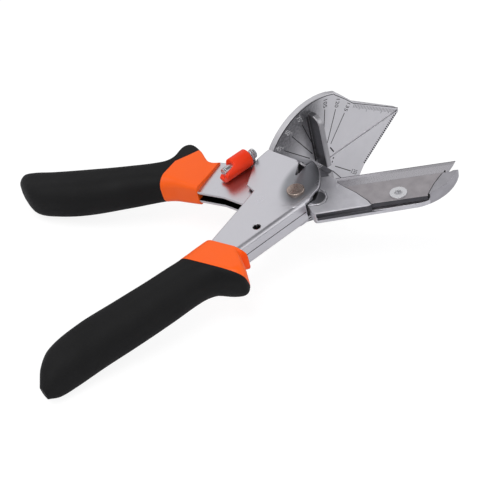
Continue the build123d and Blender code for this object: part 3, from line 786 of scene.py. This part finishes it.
def sleeve_profile():
    """(which end, radius, shift along) round the wall of the tube, from its left end."""
    points = []
    rims = ((0, sleeve_r, 180), (1, sleeve_r, 90), (1, sleeve_bore, 0), (0, sleeve_bore, -90))
    for end, radius, first in rims:
        inward = 1 if radius > sleeve_bore else -1
        shift = sleeve_round if end == 0 else -sleeve_round
        for k in range(round_steps + 1):
            a = math.radians(first - 90 * k / round_steps)
            reach = radius - inward * sleeve_round + sleeve_round * math.sin(a)
            points.append((end, reach, shift + sleeve_round * math.cos(a)))
    return points


def sleeve_mesh():
    bm = bmesh.new()
    rings = []
    for side in range(sleeve_sides):
        a = 2 * math.pi * side / sleeve_sides
        out = Vector((math.cos(a), math.sin(a)))
        share = min(max(step_steepness * out.dot(sleeve_upper), -1), 1)
        slant = sleeve_slant * (1.5 * share - 0.5 * share ** 3)
        ring = []
        for end, radius, shift in sleeve_profile():
            x = sleeve_right if end else sleeve_left + slant
            y, z = sleeve_axis + out * radius
            ring.append(bm.verts.new(tool(x + shift, y, z)))
        rings.append(ring)
    for k, ring in enumerate(rings):
        join_rings(bm, ring, rings[(k + 1) % sleeve_sides])
    return bm


sleeve = make_piece("latch_sleeve_cut", sleeve_mesh(), sleeve_red, "latch")
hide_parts("latch_sleeve")

# Marks on the table: angle lines with their numbers, a ruler along each straight edge and
# dashes round the hub; with them, painted shade: a dark line inside the rim and a dark
# strip at the root of the fences
mark_rise = 0.03
mark_sink = 0.02
angle_marks = (
    (45, "135", 26.2), (60, "120", 27.2), (75, "105", 28.0),
    (105, "75°", 28.2), (120, "60°", 28.4), (135, "45°", 28.4),
)
slot_turn = 90
line_start = 8.8
line_w = 0.38
number_size = 3.0
number_gap = 2.9
number_curve_steps = 3
tip_reach = 48.0
rim_end = (22.3, 18.7)
ruler_gap = 0.9
ruler_w = 0.3
ruler_lengths = ((10, 2.6), (5, 2.1), (1, 1.6))
far_ruler_gap = 0.05
far_ruler_w = 0.5
far_ruler_length = 1.3
slot_clear = 0.9
rim_line_w = 0.3
rim_line_r = 31.2
rim_line_deg = (66, 138)
rim_line_step = 4
rim_tip = (46.8, 0.9)
rim_corners = [rim_tip, (22.0, 18.2), (18.3, 22.5), (13.3, 27.6)]
hub_dashes = (
    [(5.5, 4.7), (7.0, 1.4)], [(6.3, -1.1), (5.9, -1.9)], [(5.5, -2.7), (5.0, -3.4)],
)
hub_dash_w = 0.55
fence_root = [(-3.2, 3.0), (-3.2, 26.4)]
fence_root_w = 1.0


def mark(bm, points, width):
    """A line of thin bars that lie in the table's face."""
    lay_line(
        bm, points, width,
        lambda x, z: tool(x, mark_sink, z), lambda x, z: tool(x, -mark_rise, z),
    )


def polar(radius, degrees):
    a = math.radians(degrees)
    return radius * math.cos(a), radius * math.sin(a)


def number(bm, words, size, spot, reading):
    """A number that lies in the table's face, read along a direction, top towards the tip."""
    curve = bpy.data.curves.new("number", "FONT")
    curve.body = words
    curve.size = size * mm
    curve.align_x = "CENTER"
    curve.align_y = "CENTER"
    curve.extrude = mark_rise * mm
    curve.resolution_u = number_curve_steps
    held = new_object("number", curve)
    right = (along * reading[0] + square * reading[1]).normalized()
    up = (-away).cross(right)
    turn = Matrix((right, up, -away)).transposed().to_4x4()
    held.matrix_world = Matrix.Translation(tool(spot[0], 0, spot[1])) @ turn
    bpy.context.view_layer.update()
    evaluated = held.evaluated_get(bpy.context.evaluated_depsgraph_get())
    mesh = bpy.data.meshes.new_from_object(evaluated)
    mesh.transform(held.matrix_world)
    bm.from_mesh(mesh)
    bpy.data.objects.remove(held)
    bpy.data.curves.remove(curve)
    bpy.data.meshes.remove(mesh)


def ruler_tick(k, foot, inward, near):
    """One millimetre mark: longer at five and ten on the near edge, short and bold on the
    far edge, where it ends before the slot."""
    if near:
        reach = next(length for every, length in ruler_lengths if k % every == 0)
        mark(grey, [foot + inward * ruler_gap, foot + inward * (ruler_gap + reach)], ruler_w)
        return
    spot = foot + inward * far_ruler_gap
    if abs(spot.y) > slot_clear:
        reach = min(far_ruler_length, abs(spot.y) - slot_clear)
        mark(black, [spot, spot + inward * reach], far_ruler_w)


dark = bmesh.new()
light = bmesh.new()
black = bmesh.new()
grey = bmesh.new()
for side in (1, -1):
    share = 1 if side > 0 else far_share
    for turn, words, number_r in angle_marks:
        ink = dark if turn < slot_turn else light
        start = polar(line_start, side * turn)
        mark(dark, [start, polar((number_r - number_gap) * share, side * turn)], line_w)
        spot = polar(number_r * share, side * turn)
        number(ink, words, number_size, spot, polar(-side, side * turn))
    edge_start = Vector((rim_end[0], side * rim_end[1] * share))
    edge = Vector((tip_reach, 0.0)) - edge_start
    inward = Vector((-edge.y, edge.x)).normalized() * side
    if inward.x > 0:
        inward = -inward
    for k in range(1, int(edge.length)):
        ruler_tick(k, edge_start + edge * (k / edge.length), inward, side > 0)
rim_arc = [polar(rim_line_r, turn) for turn in range(*rim_line_deg, rim_line_step)]
# Painted shade: a dark line along the face's border, inside the rim
mark(dark, rim_corners + rim_arc, rim_line_w)
for dash in hub_dashes:
    mark(black, dash, hub_dash_w)
# Painted shade: a dark strip on the face at the root of the fences
mark(dark, fence_root, fence_root_w)
inks = (
    ("dark", dark, dark_mark_and_painted_shade), ("light", light, mark_light), ("black", black, black_tick_and_painted_shade),
    ("grey", grey, tick_grey),
)
for name, bm, ink in inks:
    make_piece(f"table_marks_{name}", bm, ink, "table_handle")


# Stage
def backdrop_paper():
    """Matte white paper. The camera sees it lifted to white, and metal sees it a little
    in shade, so that the pieces that face it stay grey."""
    made = bpy.data.materials.new("backdrop_paper_white")
    made.use_nodes = True
    tree = made.node_tree
    tree.nodes.clear()
    path = add(tree, "ShaderNodeLightPath")
    paper = add(tree, "ShaderNodeBsdfDiffuse", {"Color": linear("#F0F0F0")})
    shaded = add(tree, "ShaderNodeBsdfDiffuse", {"Color": linear("#E4E4E6")})
    faint = add(tree, "ShaderNodeBsdfDiffuse", {"Color": linear("#808080")})
    glow = add(tree, "ShaderNodeEmission", {"Color": linear("#FFFFFF"), "Strength": 0.86})
    lifted = add(tree, "ShaderNodeAddShader", {0: faint.outputs[0], 1: glow.outputs[0]})
    mirrored = add(tree, "ShaderNodeMixShader", {
        0: path.outputs["Is Glossy Ray"], 1: paper.outputs[0], 2: shaded.outputs[0],
    })
    mix = add(tree, "ShaderNodeMixShader", {
        0: path.outputs["Is Camera Ray"], 1: mirrored.outputs[0], 2: lifted.outputs[0],
    })
    add(tree, "ShaderNodeOutputMaterial", {"Surface": mix.outputs[0]})
    return made


floor_half = 6.0
floor_bm = bmesh.new()
floor_corners = [(-1, -1), (1, -1), (1, 1), (-1, 1)]
floor_bm.faces.new([
    floor_bm.verts.new((x * floor_half, y * floor_half, 0.0)) for x, y in floor_corners
])
floor_mesh = bpy.data.meshes.new("floor")
floor_bm.to_mesh(floor_mesh)
floor_bm.free()
floor_mesh.materials.append(backdrop_paper())
new_object("floor", floor_mesh)

# The studio's walls from the floor's edge up: a dim band, then pale cloth, then a grey
# ceiling. The camera, and what glass would show, see white instead.
sky_colours = [
    (0.01, "#2E2E30"), (0.10, "#8C8C8F"), (0.30, "#D4D4D6"), (0.56, "#F6F6F8"),
    (0.79, "#F8F8FA"), (0.86, "#7E7E81"), (0.97, "#6E6E71"),
]
world = bpy.data.worlds.new("studio")
bpy.context.scene.world = world
world.use_nodes = True
sky = world.node_tree
sky.nodes.clear()
path = add(sky, "ShaderNodeLightPath")
seen = add(sky, "ShaderNodeMath", {
    0: path.outputs["Is Camera Ray"], 1: path.outputs["Is Transmission Ray"],
}, operation="MAXIMUM")
way = add(sky, "ShaderNodeTexCoord")
height = add(sky, "ShaderNodeSeparateXYZ", {"Vector": way.outputs["Generated"]})
ramp = add(sky, "ShaderNodeValToRGB", {"Fac": height.outputs["Z"]})
for position, colour in sky_colours:
    ramp.color_ramp.elements.new(position).color = linear(colour)
ramp.color_ramp.elements.remove(ramp.color_ramp.elements[0])
ramp.color_ramp.elements.remove(ramp.color_ramp.elements[-1])
soft = add(sky, "ShaderNodeBackground", {"Color": ramp.outputs["Color"], "Strength": 1.0})
white = add(sky, "ShaderNodeBackground", {"Color": linear("#FFFFFF"), "Strength": 1.0})
mixed = add(sky, "ShaderNodeMixShader", {
    0: seen.outputs[0], 1: soft.outputs[0], 2: white.outputs[0],
})
add(sky, "ShaderNodeOutputWorld", {"Surface": mixed.outputs[0]})

lamp_width = 0.6
lit_spot = (0.02, 0, 0.02)


def softbox(name, spot, strength):
    lamp = bpy.data.lights.new(name, "AREA")
    lamp.shape = "SQUARE"
    lamp.size = lamp_width
    lamp.energy = strength
    held = new_object(name, lamp)
    held.location = spot
    towards = Vector(spot) - Vector(lit_spot)
    held.rotation_euler = towards.to_track_quat("Z", "Y").to_euler()


softbox("key", (-0.45, -0.15, 1.0), 5.0)
softbox("fill", (0.75, -0.75, 0.45), 1.5)

# Camera, at the place that puts the known points of the tool on their pixels
camera_spot = tool(-206.78, -287.21, 268.92)
camera_data = bpy.data.cameras.new("camera")
camera_data.lens = 76.1
camera_data.sensor_width = 36.0
camera_data.clip_start = 0.01
camera = new_object("camera", camera_data)
look_right = along * 0.758219 - away * 0.617275 - square * 0.209943
look_down = -along * 0.540228 - away * 0.414495 - square * 0.732358
look_back = look_right.cross(-look_down)
look = Matrix((look_right, -look_down, look_back)).transposed().to_4x4()
camera.matrix_world = Matrix.Translation(camera_spot) @ look
bpy.context.scene.camera = camera
bpy.context.scene.view_settings.view_transform = "Standard"
